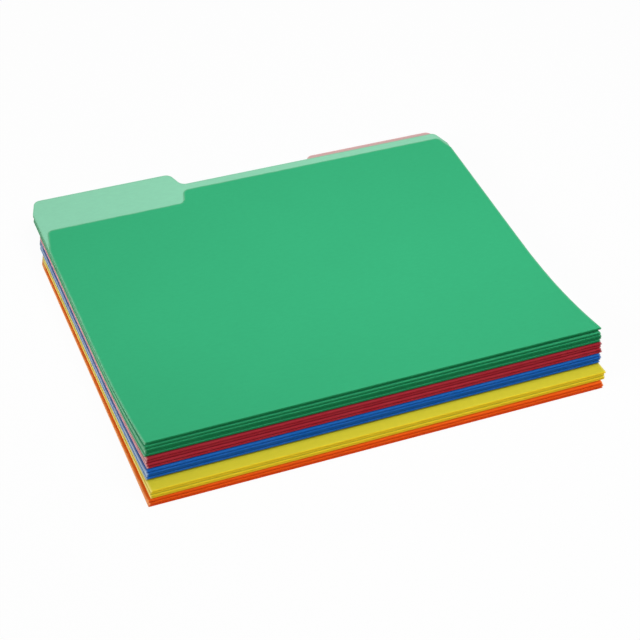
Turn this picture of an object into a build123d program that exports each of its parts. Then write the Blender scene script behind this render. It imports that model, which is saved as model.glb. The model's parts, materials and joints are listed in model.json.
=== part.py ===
"""A pile of two-tone, letter-size file folders with third-cut tabs.

Each folder is one sheet of card folded in two: a back leaf with the tab, and a front cover with a notch
that leaves the tab in view. The two leaves are separate solids that meet along the crease, which is the
line that the cover turns about. The folds are thicker than the leaves, so near its fold each leaf bends up.
Folds face -Y and tabs face +Y. The origin is on the table, under the middle of the pile.
"""

import math
import os
from dataclasses import dataclass

from build123d import *

os.makedirs("parts", exist_ok=True)

# The card and the outline of one folder, in millimetres
card = 0.28
folder_width = 298.45
shoulder_depth = 228.6
corner_lean = 4.5
corner_drop = 12.7
free_corner = 4.0
tab_foot = 103.5
tab_height = 12.7
tab_lean = 4.5
tab_corner = 5.0
tab_root = 5.0
cover_setback = 6.35
notch_width = 98.5
notch_drop = 12.7
notch_lean = 4.0
notch_corner = 4.5
notch_end_drop = 20.0

# How the folders lie on each other: close and flat at the tabs, bent up to the thicker folds
fold_height = 1.38
fold_clearance = 0.28
leaf_clearance = 0.225
bend_depth = 100.0

# How unevenly the folders of one colour are jogged, and how the top folder lies
x_wander = 0.4
y_wander = 0.25
wander_step = 2.4
top_lift = 1.0


@dataclass
class Colour:
    """The folders of one colour, which lie together in the pile.

    tab_place runs from 0, the left end, to 1, the right end. lip is how far the lowest fold stands from the
    top folder's fold along Y, and lip_step is how much further back each next fold stands.
    """

    name: str
    count: int
    tab_place: float
    shift: float
    lip: float
    lip_step: float
    turn: float


# The pile from the table upwards: lengths in millimetres, turns in degrees
colours = [
    Colour("orange", 3, tab_place=0.5, shift=-3.3, lip=-18.7, lip_step=0.4, turn=-0.16),
    Colour("yellow", 4, tab_place=1.0, shift=-1.8, lip=-16.6, lip_step=0.15, turn=0.02),
    Colour("blue", 4, tab_place=0.5, shift=-1.1, lip=-7.7, lip_step=0.2, turn=-0.03),
    Colour("red", 4, tab_place=1.0, shift=-0.5, lip=-5.9, lip_step=0.7, turn=-0.09),
    Colour("green", 5, tab_place=0.0, shift=-0.4, lip=-2.5, lip_step=0.4, turn=-0.14),
]
folder_count = sum(colour.count for colour in colours)
fold_pitch = fold_height + fold_clearance
tab_pitch = 2 * (card + leaf_clearance)
lip_radius = fold_height / 2
cover_depth = shoulder_depth - cover_setback
notch_depth = cover_depth - notch_drop
tab_depth = shoulder_depth + tab_height
pile_height = folder_count * fold_pitch + top_lift


def place_along_fold(tab_place: float, width: float) -> float:
    """Where the middle of a tab or notch of this width lies along the fold, from the fold's middle."""
    return (tab_place - 0.5) * (folder_width - width)


@dataclass
class Folder:
    """One folder's place in the pile: level counts from the table, and x and y are the middle of its fold."""

    name: str
    level: int
    tab_place: float
    x: float
    y: float
    turn: float
    lift: float

    def corners(self) -> list[Vector]:
        """The points that reach furthest to each side, seen from above."""
        end = folder_width / 2
        tab_end = tab_foot / 2 - tab_lean
        tab_middle = place_along_fold(self.tab_place, tab_foot)
        outline = [
            (-end, 0),
            (end, 0),
            (end, shoulder_depth),
            (-end, shoulder_depth),
            (tab_middle - tab_end, tab_depth),
            (tab_middle + tab_end, tab_depth),
        ]
        spot = Vector(self.x, self.y)
        return [spot + Vector(*point).rotate(Axis.Z, self.turn) for point in outline]

    def sheet(self, centre: Vector) -> Plane:
        """The table under the folder, with X along the fold and Y towards the tab."""
        return Plane(origin=(self.x - centre.X, self.y - centre.Y)).rotated((0, 0, self.turn))

    def fold(self) -> Plane:
        """The fold's rounding in the section: X runs into the folder along the card, Y out through the cover."""
        low = self.level * fold_pitch + self.lift
        rise = low - self.level * tab_pitch
        tilt = 2 * math.degrees(math.atan2(rise, bend_depth - lip_radius))
        along = Vector(1, 0).rotate(Axis.Z, -tilt)
        across = Vector(0, 1).rotate(Axis.Z, -tilt)
        return Plane(origin=Vector(lip_radius, low) + across * lip_radius, x_dir=along, z_dir=(0, 0, 1))


def stack() -> list[Folder]:
    """Every folder of the pile, from the table upwards, placed from the top folder's fold."""
    folders = []
    for colour in colours:
        for number in range(colour.count):
            level = len(folders)
            is_top = level == folder_count - 1
            lip = colour.lip + number * colour.lip_step + y_wander * math.cos(wander_step * level)
            folders.append(
                Folder(
                    name=f"{colour.name}_{number + 1}",
                    level=level,
                    tab_place=colour.tab_place,
                    x=0 if is_top else colour.shift + x_wander * math.sin(wander_step * level),
                    y=0 if is_top else lip,
                    turn=0 if is_top else colour.turn,
                    lift=top_lift if is_top else 0,
                )
            )
    return folders


def middle(folders: list[Folder]) -> Vector:
    """The middle of the pile, seen from above."""
    points = [point for folder in folders for point in folder.corners()]
    xs = [point.X for point in points]
    ys = [point.Y for point in points]
    return Vector((min(xs) + max(xs)) / 2, (min(ys) + max(ys)) / 2)


def corners_at(sketch: BuildSketch, depth: float) -> ShapeList[Vertex]:
    """The outline's corners at one depth from the fold."""
    return sketch.vertices().filter_by_position(Axis.Y, depth - card, depth + card)


def inner_corners(sketch: BuildSketch, depth: float) -> ShapeList[Vertex]:
    """The corners at one depth that aren't on the folder's ends."""
    inner_end = folder_width / 2 - free_corner
    return corners_at(sketch, depth).filter_by_position(Axis.X, -inner_end, inner_end)


def slant_corner(sketch: BuildSketch, depth: float, end: int, drop: float) -> None:
    """Cuts a free corner to a slant and rounds its tip. end is 0 for the left corner and -1 for the right one."""
    side = sketch.edges().sort_by(Axis.X)[end]
    chamfer(corners_at(sketch, depth).sort_by(Axis.X)[end], drop, corner_lean, reference=side)
    fillet(corners_at(sketch, depth).sort_by(Axis.X)[end], free_corner)


def back_outline(tab_place: float) -> Sketch:
    """The back leaf, flat: a rectangle up to the shoulder, and the tab with its rounded corners."""
    tab_side = math.degrees(math.atan2(tab_height, tab_lean))
    with BuildSketch() as outline:
        Rectangle(folder_width, shoulder_depth, align=(Align.CENTER, Align.MIN))
        with Locations((place_along_fold(tab_place, tab_foot), shoulder_depth)):
            Trapezoid(tab_foot, tab_height, tab_side, align=(Align.CENTER, Align.MIN))
        fillet(corners_at(outline, tab_depth), tab_corner)
        fillet(inner_corners(outline, shoulder_depth), tab_root)
        if tab_place > 0:
            slant_corner(outline, shoulder_depth, 0, corner_drop)
        if tab_place < 1:
            slant_corner(outline, shoulder_depth, -1, corner_drop)
    return outline.sketch


def cover_outline(tab_place: float) -> Sketch:
    """The front cover, flat: a rectangle with a notch at its free edge, below the tab."""
    notch_side = math.degrees(math.atan2(notch_drop, -notch_lean))
    notch_mouth = notch_width + 2 * notch_lean
    with BuildSketch() as outline:
        Rectangle(folder_width, cover_depth, align=(Align.CENTER, Align.MIN))
        with Locations((place_along_fold(tab_place, notch_width), notch_depth)):
            Trapezoid(
                notch_mouth, notch_drop, notch_side, align=(Align.CENTER, Align.MIN), mode=Mode.SUBTRACT
            )
        for depth in (notch_depth, cover_depth):
            fillet(inner_corners(outline, depth), notch_corner)
        for end, has_notch in ((0, tab_place == 0), (-1, tab_place == 1)):
            if has_notch:
                slant_corner(outline, notch_depth, end, notch_end_drop)
            else:
                slant_corner(outline, cover_depth, end, corner_drop)
    return outline.sketch


def section_plane(sheet: Plane) -> Plane:
    """The plane across the middle of the fold: X towards the tab, Y up."""
    return Plane(origin=sheet.origin, x_dir=sheet.y_dir, z_dir=sheet.x_dir)


def bend(start: Vector, end: Vector) -> Edge:
    """The stretch of a leaf from its flat part to its fold: straight on the table, and an arc above it."""
    if math.isclose(start.Y, end.Y):
        return Line(start, end)
    return TangentArc(start, end, tangent=(-1, 0))


def leaf(folder: Folder, sheet: Plane, outline: Sketch, side: int, outer: float, inner: float) -> Part:
    """One half of the folded card: flat at the tab, bent up to the fold, with a lip that curls to the crease.

    side is -1 for the back and 1 for the cover. outer and inner are the heights of the flat part's faces.
    """
    fold = folder.fold()
    with BuildPart() as half:
        with BuildSketch(section_plane(sheet)):
            with BuildLine():
                outside = Line((tab_depth, outer), (bend_depth, outer))
                outer_bend = bend(outside @ 1, fold.from_local_coords(Vector(0, side * lip_radius)))
                inside = Line((tab_depth, inner), (bend_depth, inner))
                inner_bend = bend(inside @ 1, fold.from_local_coords(Vector(0, side * (lip_radius - card))))
                crease = Line(
                    fold.from_local_coords(Vector(-lip_radius, 0)),
                    fold.from_local_coords(Vector(card - lip_radius, 0)),
                )
                TangentArc(crease @ 0, outer_bend @ 1, tangent=fold.y_dir * side)
                TangentArc(crease @ 1, inner_bend @ 1, tangent=fold.y_dir * side)
                Line(outside @ 0, inside @ 0)
            make_face()
        extrude(amount=folder_width / 2, both=True)
        with BuildSketch(sheet):
            add(outline)
        extrude(amount=pile_height, both=True, mode=Mode.INTERSECT)
    return half.part


folders = stack()
pile_centre = middle(folders)
tab_places = sorted({colour.tab_place for colour in colours})
back_outlines = {place: back_outline(place) for place in tab_places}
cover_outlines = {place: cover_outline(place) for place in tab_places}

for folder in folders:
    sheet = folder.sheet(pile_centre)
    rest = folder.level * tab_pitch
    back = leaf(folder, sheet, back_outlines[folder.tab_place], side=-1, outer=rest, inner=rest + card)
    back.label = f"{folder.name}_back"
    export_step(back, f"parts/{back.label}.step")
    cover_rest = rest + tab_pitch / 2
    cover = leaf(
        folder, sheet, cover_outlines[folder.tab_place], side=1, outer=cover_rest + card, inner=cover_rest
    )
    cover.label = f"{folder.name}_cover"
    export_step(cover, f"parts/{cover.label}.step")
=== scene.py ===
"""A pile of two-tone file folders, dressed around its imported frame.

Each folder is one sheet of card folded in two. The frame gives the place of every crease. Each leaf is cut
flat, given the card's thickness and then bent to the way that it lies: flat at the tabs, and bent up to the
thicker folds.
"""

import json
import logging
import math
from dataclasses import dataclass, replace
from enum import Enum

import bmesh
import bpy
from mathutils import Matrix, Vector


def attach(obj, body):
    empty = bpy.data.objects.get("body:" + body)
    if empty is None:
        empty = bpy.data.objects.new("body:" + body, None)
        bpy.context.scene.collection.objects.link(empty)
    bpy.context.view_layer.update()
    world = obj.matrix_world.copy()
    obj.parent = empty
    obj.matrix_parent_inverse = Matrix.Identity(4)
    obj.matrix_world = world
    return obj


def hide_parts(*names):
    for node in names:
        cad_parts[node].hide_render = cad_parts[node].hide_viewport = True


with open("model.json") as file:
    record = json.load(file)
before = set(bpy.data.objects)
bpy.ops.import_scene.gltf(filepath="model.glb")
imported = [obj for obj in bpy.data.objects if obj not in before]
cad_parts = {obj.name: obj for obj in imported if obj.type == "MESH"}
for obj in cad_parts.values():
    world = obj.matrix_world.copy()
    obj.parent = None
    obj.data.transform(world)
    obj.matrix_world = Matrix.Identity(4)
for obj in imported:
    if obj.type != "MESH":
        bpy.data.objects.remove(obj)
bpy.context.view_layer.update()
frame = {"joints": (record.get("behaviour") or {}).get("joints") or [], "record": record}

LOG = logging.getLogger("folder_pile")
MM = 0.001
WHITE = (1.0, 1.0, 1.0, 1.0)
NOISE_MIDDLE = 0.5

# The display curve of a colour channel: a straight toe, and a power above it
FULL_BYTE = 255
TOE_END = 0.04045
TOE_SLOPE = 12.92
CURVE_OFFSET = 0.055
CURVE_POWER = 2.4

DisplayColour = tuple[int, int, int]
SocketOrNumber = bpy.types.NodeSocket | float


class TabPlace(Enum):
    """Where a tab stands along its edge, as a share of the free room from the middle."""

    LEFT = -0.5
    MIDDLE = 0.0
    RIGHT = 0.5


class Leaf(Enum):
    """The two leaves of a folder, and the way that each one curls away from the crease."""

    BACK = -1
    COVER = 1


class Side(Enum):
    """The faces of a cut card, in the order of a leaf's material slots."""

    OUTSIDE = 0
    INSIDE = 1
    CUT_EDGE = 2


class EdgeMap(Enum):
    """The mesh attributes that say how near a point of a leaf is to its crease and to its cut edge."""

    FOLD = "worn_fold"
    RIM = "worn_rim"


def linear(colour: DisplayColour) -> tuple[float, float, float, float]:
    """Turns a display colour into the linear colour that a shader takes.

    Args:
        colour: The colour as it looks on a display, in bytes.

    Returns:
        The linear colour, opaque.
    """

    def channel(value: int) -> float:
        """Undoes the display curve for one channel."""
        level = value / FULL_BYTE
        if level <= TOE_END:
            return level / TOE_SLOPE
        return ((level + CURVE_OFFSET) / (1 + CURVE_OFFSET)) ** CURVE_POWER

    return (*(channel(value) for value in colour), 1.0)


@dataclass(frozen=True)
class CardFinish:
    """One colour of folder card: dyed outside, lighter inside and pale at the cut; its fold colour is painted
    shade where darker.

    All the folders of one colour have their tabs in the same place.
    """

    name: str
    tab: TabPlace
    outside: DisplayColour
    # The colour of the rolled fold's face: painted shade where it is darker than the outside
    fold: DisplayColour
    inside: DisplayColour
    cut_edge: DisplayColour

    def colour(self, side: Side) -> DisplayColour:
        """Returns the colour of one side of the card."""
        return {Side.OUTSIDE: self.outside, Side.INSIDE: self.inside, Side.CUT_EDGE: self.cut_edge}[side]


# The colours of card, from the table up; a fold colour darker than its outside is painted shade
FINISHES = [
    CardFinish(
        name="orange",
        tab=TabPlace.MIDDLE,
        outside=(236, 100, 24),
        fold=(220, 70, 0),
        inside=(252, 190, 126),
        cut_edge=(255, 182, 120),
    ),
    CardFinish(
        name="yellow",
        tab=TabPlace.RIGHT,
        outside=(212, 200, 52),
        fold=(230, 200, 34),
        inside=(248, 238, 150),
        cut_edge=(255, 236, 140),
    ),
    CardFinish(
        name="blue",
        tab=TabPlace.MIDDLE,
        outside=(22, 98, 186),
        fold=(2, 90, 174),
        inside=(154, 192, 230),
        cut_edge=(186, 206, 226),
    ),
    CardFinish(
        name="red",
        tab=TabPlace.RIGHT,
        outside=(170, 40, 54),
        fold=(154, 20, 36),
        inside=(214, 174, 171),
        cut_edge=(246, 194, 194),
    ),
    CardFinish(
        name="green",
        tab=TabPlace.LEFT,
        outside=(58, 180, 125),
        fold=(6, 112, 64),
        inside=(147, 218, 183),
        cut_edge=(136, 202, 163),
    ),
]


@dataclass(frozen=True)
class Corner:
    """One corner of a flat cut: its place along the fold and from the crease, and its rounding."""

    along: float
    depth: float
    radius: float = 0.0


@dataclass(frozen=True)
class FolderCut:
    """How every folder of the pile is cut and creased. The lengths are in metres."""

    card: float = 0.28 * MM
    width: float = 298.45 * MM
    shoulder_depth: float = 228.6 * MM
    corner_lean: float = 4.5 * MM
    corner_drop: float = 12.7 * MM
    free_corner: float = 4.0 * MM
    tab_foot: float = 103.5 * MM
    tab_height: float = 12.7 * MM
    tab_lean: float = 4.5 * MM
    tab_corner: float = 5.0 * MM
    tab_root: float = 5.0 * MM
    cover_setback: float = 6.35 * MM
    notch_width: float = 98.5 * MM
    notch_drop: float = 12.7 * MM
    notch_lean: float = 4.0 * MM
    notch_corner: float = 4.5 * MM
    notch_end_drop: float = 20.0 * MM

    def corners(self, leaf: Leaf, tab: TabPlace) -> list[Corner]:
        """Lays out the corners of one leaf.

        Args:
            leaf: Which leaf is cut.
            tab: Where the folder's tab stands.

        Returns:
            The corners of the flat leaf, anticlockwise from the fold's left end.
        """
        end = self.width / 2
        fold = [Corner(-end, 0), Corner(end, 0)]
        edge = self.tab_edge(tab) if leaf is Leaf.BACK else self.notch_edge(tab)
        return fold + edge

    def tab_edge(self, tab: TabPlace) -> list[Corner]:
        """Lays out the back leaf's free edge, with its tab.

        Args:
            tab: Where the folder's tab stands.

        Returns:
            The corners, from the right end to the left end.
        """
        middle = tab.value * (self.width - self.tab_foot)
        foot = self.tab_foot / 2
        top = foot - self.tab_lean
        shoulder = self.shoulder_depth
        tab_depth = shoulder + self.tab_height
        right_root = 0 if tab is TabPlace.RIGHT else self.tab_root
        left_root = 0 if tab is TabPlace.LEFT else self.tab_root
        edge = [
            Corner(middle + foot, shoulder, right_root),
            Corner(middle + top, tab_depth, self.tab_corner),
            Corner(middle - top, tab_depth, self.tab_corner),
            Corner(middle - foot, shoulder, left_root),
        ]
        if tab is not TabPlace.RIGHT:
            edge = self.slant(1, shoulder, self.corner_drop) + edge
        if tab is not TabPlace.LEFT:
            edge += self.slant(-1, shoulder, self.corner_drop)[::-1]
        return edge

    def slant(self, end: int, depth: float, drop: float) -> list[Corner]:
        """Lays out a free corner that is cut to a slant.

        Args:
            end: The end of the fold: 1 for the right and -1 for the left.
            depth: How far the free edge lies from the fold.
            drop: How far the slant reaches down the side.

        Returns:
            Its two corners, from the folder's end to its free edge.
        """
        side = self.width / 2
        foot = Corner(end * side, depth - drop)
        tip = Corner(end * (side - self.corner_lean), depth, self.free_corner)
        return [foot, tip]

    def notch_edge(self, tab: TabPlace) -> list[Corner]:
        """Lays out the cover's free edge, with its notch.

        Args:
            tab: Where the folder's tab stands, which the notch leaves in view.

        Returns:
            The corners, from the right end to the left end.
        """
        middle = tab.value * (self.width - self.notch_width)
        half = self.notch_width / 2
        wide = half + self.notch_lean
        high = self.shoulder_depth - self.cover_setback
        low = high - self.notch_drop
        rounding = self.notch_corner
        right_step = [Corner(middle + wide, high, rounding), Corner(middle + half, low, rounding)]
        left_step = [Corner(middle - half, low, rounding), Corner(middle - wide, high, rounding)]
        if tab is TabPlace.RIGHT:
            edge = self.slant(1, low, self.notch_end_drop)
        else:
            edge = self.slant(1, high, self.corner_drop) + right_step
        if tab is TabPlace.LEFT:
            edge += self.slant(-1, low, self.notch_end_drop)[::-1]
        else:
            edge += left_step + self.slant(-1, high, self.corner_drop)[::-1]
        return edge


@dataclass(frozen=True)
class CardBlank:
    """How finely a flat card is divided, so that it can be bent. The lengths are in metres."""

    corner_steps: int = 8
    rim_band: float = 1.6 * MM
    lip_steps: int = 7
    first_row: float = 2.0 * MM
    row_growth: float = 1.22
    last_row: float = 236.0 * MM
    columns: int = 10

    def rows(self, lip_length: float) -> list[float]:
        """Places the lines along which the card can bend: close on the fold, wider towards the free edge.

        Args:
            lip_length: How much of the card is rolled into the fold.

        Returns:
            The distances from the crease.
        """
        places = [lip_length * step / self.lip_steps for step in range(1, self.lip_steps + 1)]
        row = self.first_row
        while places[-1] + row < self.last_row:
            places.append(places[-1] + row)
            row *= self.row_growth
        return places

    def cut(self, corners: list[Corner], sizes: FolderCut, lip_length: float) -> bmesh.types.BMesh:
        """Cuts one leaf flat, rounds its corners, divides it and gives it the card's thickness.

        Args:
            corners: The leaf's outline, which starts with the two ends of the fold.
            sizes: The folder's sizes.
            lip_length: How much of the card is rolled into the fold.

        Returns:
            The flat leaf: X along the fold, Y from the crease, its outside at Z 0 and its inside below.
        """
        leaf = bmesh.new()
        verts = [leaf.verts.new((corner.along, corner.depth, 0)) for corner in corners]
        # The fold has no rim, so the card runs past it here and is trimmed after the rim is drawn
        for vert in verts[:2]:
            vert.co.y -= 2 * self.rim_band
        leaf.faces.new(verts)
        for vert, corner in zip(verts, corners):
            if corner.radius:
                self.round_corner(leaf, vert, corner.radius)
        bmesh.ops.inset_region(
            leaf, faces=leaf.faces[:], thickness=self.rim_band, use_boundary=True, use_even_offset=True
        )
        along_fold = Vector((1, 0, 0))
        from_crease = Vector((0, 1, 0))
        self.divide(leaf, from_crease, 0, clear_inner=True)
        for depth in self.rows(lip_length):
            self.divide(leaf, from_crease, depth)
        for column in range(1, self.columns):
            self.divide(leaf, along_fold, sizes.width * (column / self.columns - 0.5))
        bmesh.ops.solidify(leaf, geom=leaf.faces[:], thickness=sizes.card)
        return leaf

    def round_corner(self, leaf: bmesh.types.BMesh, vert: bmesh.types.BMVert, radius: float) -> None:
        """Rounds one corner of a flat outline.

        Args:
            leaf: The outline, as one face.
            vert: The corner.
            radius: The radius of the rounding.
        """
        first, second = (edge.other_vert(vert).co - vert.co for edge in vert.link_edges)
        tangent = radius / math.tan(first.angle(second) / 2)
        bmesh.ops.bevel(
            leaf,
            geom=[vert],
            offset=tangent,
            segments=self.corner_steps,
            profile=0.5,
            affect="VERTICES",
            material=-1,
        )

    @staticmethod
    def divide(leaf: bmesh.types.BMesh, normal: Vector, place: float, clear_inner: bool = False) -> None:
        """Divides a flat leaf along one line.

        Args:
            leaf: The flat leaf.
            normal: The way across the line.
            place: How far along the normal the line lies.
            clear_inner: Whether what lies before the line is taken away.
        """
        bmesh.ops.bisect_plane(
            leaf,
            geom=leaf.verts[:] + leaf.edges[:] + leaf.faces[:],
            plane_co=normal * place,
            plane_no=normal,
            clear_inner=clear_inner,
        )


@dataclass(frozen=True)
class PileLie:
    """How folders settle in a pile. The lengths are in metres.

    The folds are thicker than two leaves, so the leaves lie flat at the tabs and bend up to the folds.
    """

    fold_height: float = 1.38 * MM
    fold_clearance: float = 0.28 * MM
    leaf_clearance: float = 0.225 * MM
    bend_depth: float = 100.0 * MM
    top_lift: float = 1.0 * MM


@dataclass(frozen=True)
class LeafLine:
    """The section of a leaf's outside: a quarter-round lip at the crease, an arc, and flat to the free edge.

    Depths are measured from the fold and heights from the table. The centre is that of the fold's rounding,
    the tilt is the fold's slope in radians, and flat is the height of the flat stretch.
    """

    leaf: Leaf
    lip: float
    centre: Vector
    tilt: float
    flat: float
    bend_depth: float

    @property
    def lip_length(self) -> float:
        """How much of the leaf is rolled into the fold."""
        return self.lip * math.pi / 2

    def on_fold(self, turn: float) -> Vector:
        """Finds a point of the lip's outside.

        Args:
            turn: The point's angle from the crease, in radians.

        Returns:
            Its depth and height.
        """
        along = -self.lip * math.cos(turn)
        across = self.leaf.value * self.lip * math.sin(turn)
        return self.centre + Matrix.Rotation(-self.tilt, 2) @ Vector((along, across))

    def point(self, run: float) -> Vector:
        """Finds a point of the leaf's outside.

        Args:
            run: The distance from the crease along the lip, and then straight on over the table.

        Returns:
            Its depth and height.
        """
        if run < self.lip_length:
            return self.on_fold(run / self.lip)
        lip_end = self.on_fold(math.pi / 2)
        depth = lip_end.x + run - self.lip_length
        reach = self.bend_depth - lip_end.x
        climb = lip_end.y - self.flat
        # The bend is an arc that is level where it meets the flat stretch
        curvature = 2 * climb / (reach**2 + climb**2)
        left = max(0.0, self.bend_depth - depth)
        height = left**2 * curvature / (1 + math.sqrt(1 - (left * curvature) ** 2))
        return Vector((depth, self.flat + height))


@dataclass
class Folder:
    """One folded card where it lies in the pile.

    The level counts from the table. The crease is the front of the fold, along is its direction, and lift is
    how far it stands above the fold below, beyond the usual.
    """

    name: str
    level: int
    finish: CardFinish
    cut: FolderCut
    blank: CardBlank
    lie: PileLie
    crease: Vector
    along: Vector
    lift: float

    def line(self, leaf: Leaf) -> LeafLine:
        """Works out how one leaf is bent.

        Args:
            leaf: Which leaf.

        Returns:
            The section of the leaf's outside.
        """
        lip = self.lie.fold_height / 2
        leaf_pitch = self.cut.card + self.lie.leaf_clearance
        rest = self.level * 2 * leaf_pitch
        low = self.level * (self.lie.fold_height + self.lie.fold_clearance) + self.lift
        tilt = 2 * math.atan2(low - rest, self.lie.bend_depth - lip)
        return LeafLine(
            leaf=leaf,
            lip=lip,
            centre=Vector((lip + lip * math.sin(tilt), low + lip * math.cos(tilt))),
            tilt=tilt,
            flat=rest if leaf is Leaf.BACK else rest + leaf_pitch + self.cut.card,
            bend_depth=self.lie.bend_depth,
        )

    def place(self, line: LeafLine, flat: Vector) -> Vector:
        """Bends a point of the flat leaf into its place in the pile.

        Args:
            line: The leaf's section.
            flat: The point: X along the fold, Y from the crease, Z 0 on the outside and less inside the card.

        Returns:
            The point in the pile.
        """
        small_step = 0.01 * MM
        outside = line.point(flat.y)
        tangent = (line.point(flat.y + small_step) - outside).normalized()
        inward = Vector((-tangent.y, tangent.x)) * -line.leaf.value
        depth, height = outside - inward * flat.z
        across = Vector((-self.along.y, self.along.x, 0))
        spot = self.crease + self.along * flat.x + across * (depth - line.on_fold(0).x)
        spot.z = height
        return spot

    def leaf_mesh(self, leaf: Leaf) -> bpy.types.Mesh:
        """Makes one leaf: cut flat, sorted into its faces, then bent into place.

        Args:
            leaf: Which leaf.

        Returns:
            The finished mesh, each face with the index of its side of the card.
        """
        line = self.line(leaf)
        # The rolled lip takes more card than the depth that it covers, so the free edge is cut further out
        spare = line.lip_length - line.on_fold(math.pi / 2).x
        corners = [
            replace(corner, depth=corner.depth + spare) if corner.depth else corner
            for corner in self.cut.corners(leaf, self.finish.tab)
        ]
        flat = self.blank.cut(corners, self.cut, line.lip_length)
        self.sort_faces(flat, line.lip_length)
        for vert in flat.verts:
            vert.co = self.place(line, vert.co)
        if leaf is Leaf.BACK:
            bmesh.ops.reverse_faces(flat, faces=flat.faces[:])
        flat.normal_update()
        mesh = bpy.data.meshes.new(f"{self.name}_{leaf.name.lower()}_card")
        flat.to_mesh(mesh)
        flat.free()
        return mesh

    def sort_faces(self, flat: bmesh.types.BMesh, lip_length: float) -> None:
        """Gives each face of a flat leaf its side of the card, and keeps the edges between sides sharp.

        Args:
            flat: The flat leaf, with the card's thickness.
            lip_length: How much of the card is rolled into the fold.
        """
        flat.normal_update()
        # Masks of nearness to the cut edge and to the crease: they steer the paler rims, and the painted
        # shade and painted sheen on the folds
        worn_rim = flat.verts.layers.float.new(EdgeMap.RIM.value)
        worn_fold = flat.verts.layers.float.new(EdgeMap.FOLD.value)
        at_crease = self.cut.card / 10
        lies_flat = 0.5
        fold_reach = 2 * lip_length
        for face in flat.faces:
            face.smooth = True
            if abs(face.normal.z) > lies_flat:
                side = Side.OUTSIDE if face.normal.z > 0 else Side.INSIDE
            elif all(vert.co.y < at_crease for vert in face.verts):
                side = Side.INSIDE
            else:
                side = Side.CUT_EDGE
                for vert in face.verts:
                    vert[worn_rim] = 1.0
            face.material_index = side.value
        for edge in flat.edges:
            edge.smooth = len({face.material_index for face in edge.link_faces}) == 1
        for vert in flat.verts:
            vert[worn_fold] = max(0.0, 1 - vert.co.y / fold_reach)

    def build(
        self, materials: dict[Side, bpy.types.Material], bodies: dict[str, str]
    ) -> list[bpy.types.Object]:
        """Makes both leaves and ties them to the frame.

        Args:
            materials: The material of each side of the card.
            bodies: The body that each node of the frame belongs to.

        Returns:
            The two pieces.
        """
        pieces = []
        for leaf in Leaf:
            node = f"{self.name}_{leaf.name.lower()}"
            piece = bpy.data.objects.new(f"{node}_card", self.leaf_mesh(leaf))
            bpy.context.scene.collection.objects.link(piece)
            for side in Side:
                piece.data.materials.append(materials[side])
            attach(piece, bodies[node])
            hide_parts(node)
            pieces.append(piece)
        return pieces


@dataclass
class FolderPile:
    """The whole pile, read from the frame's creases."""

    cut: FolderCut
    blank: CardBlank
    lie: PileLie

    def folders(self) -> list[Folder]:
        """Places each folder by its own hinge.

        Returns:
            The folders, from the table up.
        """
        finishes = {finish.name: finish for finish in FINISHES}
        hinges = [joint for joint in frame["joints"] if joint["type"] == "hinge"]
        found = []
        for level, hinge in enumerate(hinges):
            name = hinge["name"].removesuffix("_fold")
            along = Vector(hinge["axis"])
            found.append(
                Folder(
                    name=name,
                    level=level,
                    finish=finishes[name.split("_")[0]],
                    cut=self.cut,
                    blank=self.blank,
                    lie=self.lie,
                    crease=Vector(hinge["pos_m"]),
                    along=along if along.x > 0 else -along,
                    lift=self.lie.top_lift if hinge is hinges[-1] else 0.0,
                )
            )
        return found

    def build(self, cards: "CardStock") -> list[bpy.types.Object]:
        """Makes every folder, in place of the plain nodes that it stands for.

        Args:
            cards: The finishes of the card.

        Returns:
            The leaves, from the table up.
        """
        moving = frame["record"]["behaviour"]["bodies"]
        bodies = {node: body for body, nodes in moving.items() for node in nodes}
        pieces = []
        for folder in self.folders():
            pieces += folder.build(cards.materials(folder.finish), bodies)
        return pieces


class Socket(Enum):
    """The kinds of socket that a shared effect takes and gives."""

    COLOUR = "NodeSocketColor"
    VALUE = "NodeSocketFloat"


class NodeBench:
    """A node tree with short ways to add and join its nodes."""

    def __init__(self, tree: bpy.types.NodeTree) -> None:
        """Keeps the tree that nodes are added to."""
        self.tree = tree

    def add(self, kind: str, **settings: object) -> bpy.types.Node:
        """Adds a node.

        Args:
            kind: The node's type.
            settings: The node's own properties.

        Returns:
            The new node.
        """
        node = self.tree.nodes.new(kind)
        for name, value in settings.items():
            setattr(node, name, value)
        return node

    def join(self, source: bpy.types.NodeSocket, target: bpy.types.NodeSocket) -> None:
        """Links one socket to another."""
        self.tree.links.new(source, target)

    def calculate(
        self, operation: str, first: SocketOrNumber, second: SocketOrNumber
    ) -> bpy.types.NodeSocket:
        """Adds a Math node.

        Args:
            operation: What the node works out.
            first: A socket or a number.
            second: A socket or a number.

        Returns:
            The node's result.
        """
        node = self.add("ShaderNodeMath", operation=operation)
        for value, socket in zip((first, second), node.inputs):
            if isinstance(value, bpy.types.NodeSocket):
                self.join(value, socket)
            else:
                socket.default_value = value
        return node.outputs[0]

    def rim_and_fold(self, edge_map: EdgeMap) -> bpy.types.NodeSocket:
        """Returns one of the two maps, of nearness to the crease and to the cut edge, that a leaf's mesh
        carries.
        """
        return self.add("ShaderNodeAttribute", attribute_name=edge_map.value).outputs["Fac"]

    def noise(self, place: bpy.types.NodeSocket, scale: float, detail: float = 3.0) -> bpy.types.NodeSocket:
        """Adds one layer of noise.

        Args:
            place: The coordinates.
            scale: How many patterns lie along a metre.
            detail: How many finer layers it has.

        Returns:
            The noise, around its middle value.
        """
        node = self.add("ShaderNodeTexNoise")
        node.inputs["Scale"].default_value = scale
        node.inputs["Detail"].default_value = detail
        self.join(place, node.inputs["Vector"])
        return node.outputs["Fac"]

    def spread(self, noise: bpy.types.NodeSocket, share: float) -> bpy.types.NodeSocket:
        """Returns a noise as a change to both sides of 0, over this share."""
        return self.calculate("MULTIPLY", self.calculate("SUBTRACT", noise, NOISE_MIDDLE), share)


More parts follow.
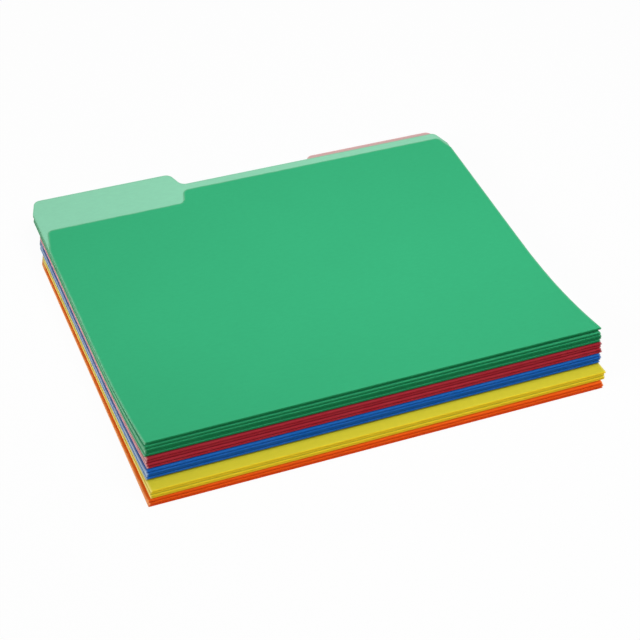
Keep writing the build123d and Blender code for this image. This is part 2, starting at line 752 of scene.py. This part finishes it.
class EffectGroup(NodeBench):
    """A node group that more than one material uses, with named inputs and outputs."""

    def __init__(self, name: str, takes: dict[str, Socket], gives: dict[str, Socket]) -> None:
        """Makes the group and its sockets.

        Args:
            name: The group's name.
            takes: The inputs.
            gives: The outputs.
        """
        super().__init__(bpy.data.node_groups.new(name, "ShaderNodeTree"))
        for way, sockets in (("INPUT", takes), ("OUTPUT", gives)):
            for socket, kind in sockets.items():
                self.tree.interface.new_socket(socket, in_out=way, socket_type=kind.value)
        self.given = self.add("NodeGroupInput").outputs
        self.made = self.add("NodeGroupOutput").inputs

    def blend(self, share: bpy.types.NodeSocket, first: str, second: str, result: str) -> None:
        """Mixes two of the group's colours.

        Args:
            share: How much of the second colour there is.
            first: The input that holds the first colour.
            second: The input that holds the second colour.
            result: The output that takes the mix.
        """
        mix = self.add("ShaderNodeMix", data_type="RGBA")
        self.join(share, mix.inputs["Factor"])
        self.join(self.given[first], mix.inputs["A"])
        self.join(self.given[second], mix.inputs["B"])
        self.join(mix.outputs["Result"], self.made[result])


@dataclass(frozen=True)
class PaperGrain:
    """The fibres that show in dyed card, as patterns per metre and as shares of its tone, and its gloss."""

    fibre_scale: float = 700.0
    fibre_stretch: float = 3.0
    tooth_scale: float = 2600.0
    cloud_scale: float = 24.0
    fibre_tone: float = 0.10
    cloud_tone: float = 0.05
    roughness: float = 0.62
    roughness_spread: float = 0.12
    specular_level: float = 0.05
    bump_strength: float = 0.2
    bump_height: float = 0.03 * MM

    def group(self) -> bpy.types.NodeTree:
        """Builds the effect that turns a plain dye into fibrous card.

        Returns:
            The node group.
        """
        effect = EffectGroup(
            name="card_grain",
            takes={"Dye": Socket.COLOUR},
            gives={"Colour": Socket.COLOUR, "Roughness": Socket.VALUE, "Height": Socket.VALUE},
        )
        place = effect.add("ShaderNodeTexCoord").outputs["Object"]
        stretch = effect.add("ShaderNodeMapping")
        stretch.inputs["Scale"].default_value = (1 / self.fibre_stretch, 1, 1)
        effect.join(place, stretch.inputs["Vector"])
        fibre = effect.noise(stretch.outputs["Vector"], self.fibre_scale)
        tooth = effect.noise(place, self.tooth_scale)
        cloud = effect.noise(place, self.cloud_scale)
        fibre_tone = effect.spread(fibre, self.fibre_tone)
        cloud_tone = effect.spread(cloud, self.cloud_tone)
        tone = effect.calculate("ADD", effect.calculate("ADD", fibre_tone, cloud_tone), 1.0)
        dye = effect.add("ShaderNodeHueSaturation")
        effect.join(effect.given["Dye"], dye.inputs["Color"])
        effect.join(tone, dye.inputs["Value"])
        effect.join(dye.outputs["Color"], effect.made["Colour"])
        matt = effect.spread(fibre, self.roughness_spread)
        effect.join(effect.calculate("ADD", matt, self.roughness), effect.made["Roughness"])
        effect.join(effect.calculate("ADD", fibre, tooth), effect.made["Height"])
        return effect.tree


@dataclass(frozen=True)
class FoldShade:
    """Painted shade on the fold: the fold colour takes over from the leaf's between two shares of the way
    from the leaf to the crease.
    """

    start: float = 0.5
    full: float = 0.75

    def group(self) -> bpy.types.NodeTree:
        """Builds the effect that goes from the leaf's dye to the fold colour, the painted shade on the fold.

        Returns:
            The node group.
        """
        effect = EffectGroup(
            name="card_fold",
            takes={"Leaf": Socket.COLOUR, "Fold": Socket.COLOUR},
            gives={"Dye": Socket.COLOUR},
        )
        fold_shade_share = effect.add("ShaderNodeMapRange", interpolation_type="SMOOTHSTEP")
        fold_shade_share.inputs["From Min"].default_value = self.start
        fold_shade_share.inputs["From Max"].default_value = self.full
        effect.join(effect.rim_and_fold(EdgeMap.FOLD), fold_shade_share.inputs["Value"])
        effect.blend(fold_shade_share.outputs["Result"], "Leaf", "Fold", "Dye")
        return effect.tree


@dataclass(frozen=True)
class PaleRimAndFoldSheen:
    """A paler colour in patches: a faint painted sheen on the folds, and paler rims along the cut edges."""

    patch_scale: float = 140.0
    fold_sheen_share: float = 0.05
    rim_share: float = 1.5

    def group(self) -> bpy.types.NodeTree:
        """Builds the effect that pales a colour on the folds, as painted sheen, and along the cut edges.

        Returns:
            The node group.
        """
        effect = EffectGroup(
            name="card_wear",
            takes={"Colour": Socket.COLOUR, "Core": Socket.COLOUR},
            gives={"Colour": Socket.COLOUR},
        )
        place = effect.add("ShaderNodeTexCoord").outputs["Object"]
        patchy = effect.noise(place, self.patch_scale)
        rim = effect.rim_and_fold(EdgeMap.RIM)
        near_rim = effect.calculate("MULTIPLY", rim, rim)
        # The paling on the folds is painted sheen; along the cut edges the rim is paler
        fold_sheen = effect.calculate("MULTIPLY", effect.rim_and_fold(EdgeMap.FOLD), self.fold_sheen_share)
        rim_paling = effect.calculate("MULTIPLY", near_rim, self.rim_share)
        paling_and_sheen = effect.calculate("MULTIPLY", effect.calculate("MAXIMUM", fold_sheen, rim_paling), patchy)
        effect.blend(paling_and_sheen, "Colour", "Core", "Colour")
        return effect.tree


class CardStock:
    """The card's materials: one for each side of each colour."""

    def __init__(self, grain: PaperGrain, fold: FoldShade, rim_and_fold: PaleRimAndFoldSheen) -> None:
        """Builds the shared effects once.

        Args:
            grain: The fibres in the card.
            fold: The painted shade on the folds.
            rim_and_fold: The paler rims along the cut edges and the painted sheen on the folds.
        """
        self.grain = grain
        self.grain_group = grain.group()
        self.fold_shade_group = fold.group()
        self.pale_rim_and_sheen_group = rim_and_fold.group()
        self.made: dict[str, dict[Side, bpy.types.Material]] = {}

    def materials(self, finish: CardFinish) -> dict[Side, bpy.types.Material]:
        """Makes the materials of one colour of card at the first call, and keeps them.

        Args:
            finish: The card's colours.

        Returns:
            The material of each side.
        """
        if finish.name not in self.made:
            self.made[finish.name] = {side: self.material(finish, side) for side in Side}
        return self.made[finish.name]

    def material(self, finish: CardFinish, side: Side) -> bpy.types.Material:
        """Makes the material of one side of the card.

        Args:
            finish: The card's colours.
            side: Which side.

        Returns:
            The new material.
        """
        made = bpy.data.materials.new(f"{finish.name}_{side.name.lower()}")
        made.use_nodes = True
        made.diffuse_color = linear(finish.colour(side))
        bench = NodeBench(made.node_tree)
        shader = made.node_tree.nodes["Principled BSDF"]
        shader.inputs["Specular IOR Level"].default_value = self.grain.specular_level
        grain = bench.add("ShaderNodeGroup", node_tree=self.grain_group)
        grain.inputs["Dye"].default_value = linear(finish.colour(side))
        # On the outside the fold colour takes over on the rolled lip, as painted shade on the folds
        if side is Side.OUTSIDE:
            fold = bench.add("ShaderNodeGroup", node_tree=self.fold_shade_group)
            fold.inputs["Leaf"].default_value = linear(finish.outside)
            fold.inputs["Fold"].default_value = linear(finish.fold)
            bench.join(fold.outputs["Dye"], grain.inputs["Dye"])
        # Paler rims along the cut edges, and a faint painted sheen on the folds
        rim_and_fold = bench.add("ShaderNodeGroup", node_tree=self.pale_rim_and_sheen_group)
        rim_and_fold.inputs["Core"].default_value = linear(finish.cut_edge)
        bump = bench.add("ShaderNodeBump")
        bump.inputs["Strength"].default_value = self.grain.bump_strength
        bump.inputs["Distance"].default_value = self.grain.bump_height
        bench.join(grain.outputs["Colour"], rim_and_fold.inputs["Colour"])
        bench.join(rim_and_fold.outputs["Colour"], shader.inputs["Base Color"])
        bench.join(grain.outputs["Roughness"], shader.inputs["Roughness"])
        bench.join(grain.outputs["Height"], bump.inputs["Height"])
        bench.join(bump.outputs["Normal"], shader.inputs["Normal"])
        return made


@dataclass(frozen=True)
class Lamp:
    """A soft square lamp. Lengths are in metres."""

    name: str
    place: tuple[float, float, float]
    size: float
    watts: float

    def build(self) -> None:
        """Hangs the lamp and turns it to the pile."""
        light = bpy.data.lights.new(self.name, "AREA")
        light.size = self.size
        light.energy = self.watts
        lamp = bpy.data.objects.new(self.name, light)
        lamp.location = self.place
        lamp.rotation_euler = (-Vector(self.place)).to_track_quat("-Z", "Y").to_euler()
        bpy.context.scene.collection.objects.link(lamp)


@dataclass(frozen=True)
class Viewpoint:
    """The camera's place round the pile, in metres and degrees, and its lens in millimetres."""

    target: tuple[float, float, float] = (1.8 * MM, 8.6 * MM, 20.0 * MM)
    azimuth: float = -26.08
    elevation: float = 41.8
    roll: float = 5.31
    distance: float = 1132.8 * MM
    lens: float = 98.9
    shift: tuple[float, float] = (0.023, -0.0747)

    def build(self) -> None:
        """Makes the camera and hands it to the scene."""
        turn = math.radians(self.azimuth)
        lift = math.radians(self.elevation)
        back = Vector((math.sin(turn) * math.cos(lift), -math.cos(turn) * math.cos(lift), math.sin(lift)))
        right = Vector((math.cos(turn), math.sin(turn), 0))
        up = back.cross(right)
        level = Matrix((right, up, back)).transposed()
        view = bpy.data.cameras.new("view")
        view.lens = self.lens
        view.shift_x, view.shift_y = self.shift
        camera = bpy.data.objects.new("view", view)
        rolled = level @ Matrix.Rotation(math.radians(self.roll), 3, "Z")
        camera.matrix_world = Matrix.Translation(Vector(self.target) + back * self.distance) @ rolled.to_4x4()
        bpy.context.scene.collection.objects.link(camera)
        bpy.context.scene.camera = camera


@dataclass(frozen=True)
class Studio:
    """A white table under soft light. Lengths are in metres.

    Glow is the share of plain white in the floor as it is seen, and sky is the strength of the light from
    all round.
    """

    floor_size: float = 8.0
    floor_shade: float = 0.8
    glow: float = 0.96
    sky: float = 0.1
    lamps: tuple[Lamp, ...] = (
        Lamp("overhead", place=(0.1, 0.08, 0.65), size=0.4, watts=1.35),
        Lamp("front_key", place=(0.16, -0.25, 0.65), size=0.4, watts=1.75),
        Lamp("left_fill", place=(-4.8, -1.2, 2.2), size=2.4, watts=215.0),
        Lamp("front_fill", place=(0.6, -4.0, 1.2), size=2.4, watts=20.0),
    )

    def build(self) -> None:
        """Makes the floor, the sky and the lamps."""
        scene = bpy.context.scene
        scene.view_settings.view_transform = "Standard"
        table = bmesh.new()
        bmesh.ops.create_grid(table, x_segments=1, y_segments=1, size=self.floor_size / 2)
        mesh = bpy.data.meshes.new("floor")
        table.to_mesh(mesh)
        table.free()
        floor = bpy.data.objects.new("floor", mesh)
        scene.collection.objects.link(floor)
        floor.data.materials.append(self.floor_material())
        scene.world = self.white_sky()
        for lamp in self.lamps:
            lamp.build()

    @staticmethod
    def looked_at(bench: NodeBench) -> bpy.types.NodeSocket:
        """Tells the rays that look at the backdrop from those that only light the pile.

        Args:
            bench: The tree that asks.

        Returns:
            1 for a ray from the camera, a reflection or a clear piece, and 0 for others.
        """
        path = bench.add("ShaderNodeLightPath")
        through = path.outputs["Is Transmission Ray"]
        mirrored = bench.calculate("MAXIMUM", path.outputs["Is Glossy Ray"], through)
        return bench.calculate("MAXIMUM", path.outputs["Is Camera Ray"], mirrored)

    def floor_material(self) -> bpy.types.Material:
        """Makes a floor that looks white, keeps a faint shadow and gives plain light back.

        Returns:
            The floor's material.
        """
        made = bpy.data.materials.new("white_floor")
        made.use_nodes = True
        made.node_tree.nodes.clear()
        bench = NodeBench(made.node_tree)
        plain = bench.add("ShaderNodeBsdfDiffuse")
        plain.inputs["Color"].default_value = (self.floor_shade, self.floor_shade, self.floor_shade, 1)
        white = bench.add("ShaderNodeEmission")
        seen = bench.add("ShaderNodeMixShader")
        seen.inputs[0].default_value = self.glow
        bench.join(plain.outputs[0], seen.inputs[1])
        bench.join(white.outputs[0], seen.inputs[2])
        choice = bench.add("ShaderNodeMixShader")
        bench.join(self.looked_at(bench), choice.inputs[0])
        bench.join(plain.outputs[0], choice.inputs[1])
        bench.join(seen.outputs[0], choice.inputs[2])
        bench.join(choice.outputs[0], bench.add("ShaderNodeOutputMaterial").inputs["Surface"])
        return made

    def white_sky(self) -> bpy.types.World:
        """Makes a sky that lights softly and looks white.

        Returns:
            The world.
        """
        world = bpy.data.worlds.new("white_sky")
        world.use_nodes = True
        world.node_tree.nodes.clear()
        bench = NodeBench(world.node_tree)
        light = bench.add("ShaderNodeBackground")
        light.inputs["Strength"].default_value = self.sky
        white = bench.add("ShaderNodeBackground")
        for background in (light, white):
            background.inputs["Color"].default_value = WHITE
        choice = bench.add("ShaderNodeMixShader")
        bench.join(self.looked_at(bench), choice.inputs[0])
        bench.join(light.outputs[0], choice.inputs[1])
        bench.join(white.outputs[0], choice.inputs[2])
        bench.join(choice.outputs[0], bench.add("ShaderNodeOutputWorld").inputs["Surface"])
        return world


def main() -> None:
    """Builds the studio, then the pile, and reports each piece."""
    logging.basicConfig(level=logging.INFO, format="%(name)s: %(message)s")
    Studio().build()
    Viewpoint().build()
    cards = CardStock(PaperGrain(), FoldShade(), PaleRimAndFoldSheen())
    pile = FolderPile(FolderCut(), CardBlank(), PileLie())
    for piece in pile.build(cards):
        LOG.info("%s: %d faces", piece.name, len(piece.data.polygons))


if __name__ == "__main__":
    main()
